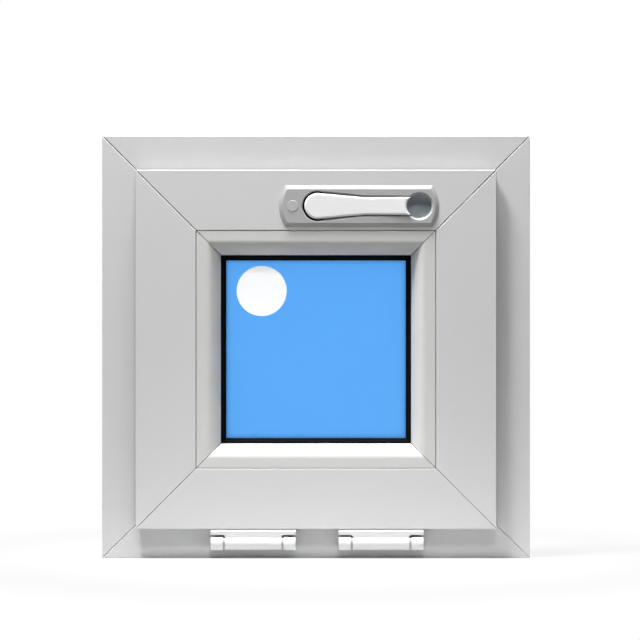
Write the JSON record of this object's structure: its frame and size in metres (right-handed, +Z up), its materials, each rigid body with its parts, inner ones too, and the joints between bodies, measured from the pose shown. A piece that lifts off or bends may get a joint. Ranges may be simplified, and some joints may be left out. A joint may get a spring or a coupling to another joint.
{
  "type": "bottom-hung tilt window",
  "caption": "Small square tilt window: mitred hollow frame and proud sash, snap-in beads, sealed blue frosted unit, flush lever handle above and barrel hinges below.",
  "frame": {"origin": "middle of the sill's underside, half-way between the frame's room face and outdoor face", "axes": "+X to the right as seen from the room, +Y outdoors through the wall, +Z up"},
  "size_m": [0.4, 0.0605, 0.395],
  "materials": {
    "frame_lacquer": "satin white lacquer",
    "sash_lacquer": "satin white lacquer",
    "bead_lacquer": "satin white lacquer",
    "black_rubber": "matte black",
    "frosted_glass": "frosted blue",
    "spacer_aluminium": "mill",
    "packer_plastic": "matte",
    "hinge_lacquer": "satin white lacquer",
    "steel_pin": "plain",
    "washer_nylon": "matte",
    "handle_lacquer": "satin grey lacquer",
    "lever_lacquer": "satin white lacquer",
    "cup_plastic": "satin blue-grey",
    "turntable_plastic": "matte black",
    "cap_plastic": "satin"
  },
  "bodies": {
    "root": {"frame_head": "frame_lacquer", "frame_sill": "frame_lacquer", "frame_jamb_left": "frame_lacquer", "frame_jamb_right": "frame_lacquer", "sash_rail_top": "sash_lacquer", "sash_rail_bottom": "sash_lacquer", "sash_stile_left": "sash_lacquer", "sash_stile_right": "sash_lacquer", "bead_top": "bead_lacquer", "bead_bottom": "bead_lacquer", "bead_left": "bead_lacquer", "bead_right": "bead_lacquer", "glazing_seal_room": "black_rubber", "glazing_seal_outdoor": "black_rubber", "sash_seal_room": "black_rubber", "sash_seal_outdoor": "black_rubber", "pane_room": "frosted_glass", "pane_outdoor": "frosted_glass", "spacer_bar": "spacer_aluminium", "packer_left": "packer_plastic", "packer_right": "packer_plastic", "hinge_left_frame_leaf": "hinge_lacquer", "hinge_left_sash_leaf": "hinge_lacquer", "hinge_left_pin": "steel_pin", "hinge_left_washer_left": "washer_nylon", "hinge_left_washer_right": "washer_nylon", "hinge_right_frame_leaf": "hinge_lacquer", "hinge_right_sash_leaf": "hinge_lacquer", "hinge_right_pin": "steel_pin", "hinge_right_washer_left": "washer_nylon", "hinge_right_washer_right": "washer_nylon", "handle_housing": "handle_lacquer", "handle_lever": "lever_lacquer", "handle_finger_cup": "cup_plastic", "handle_turntable": "turntable_plastic", "handle_screw_cap": "cap_plastic"}
  },
  "joints": []
}
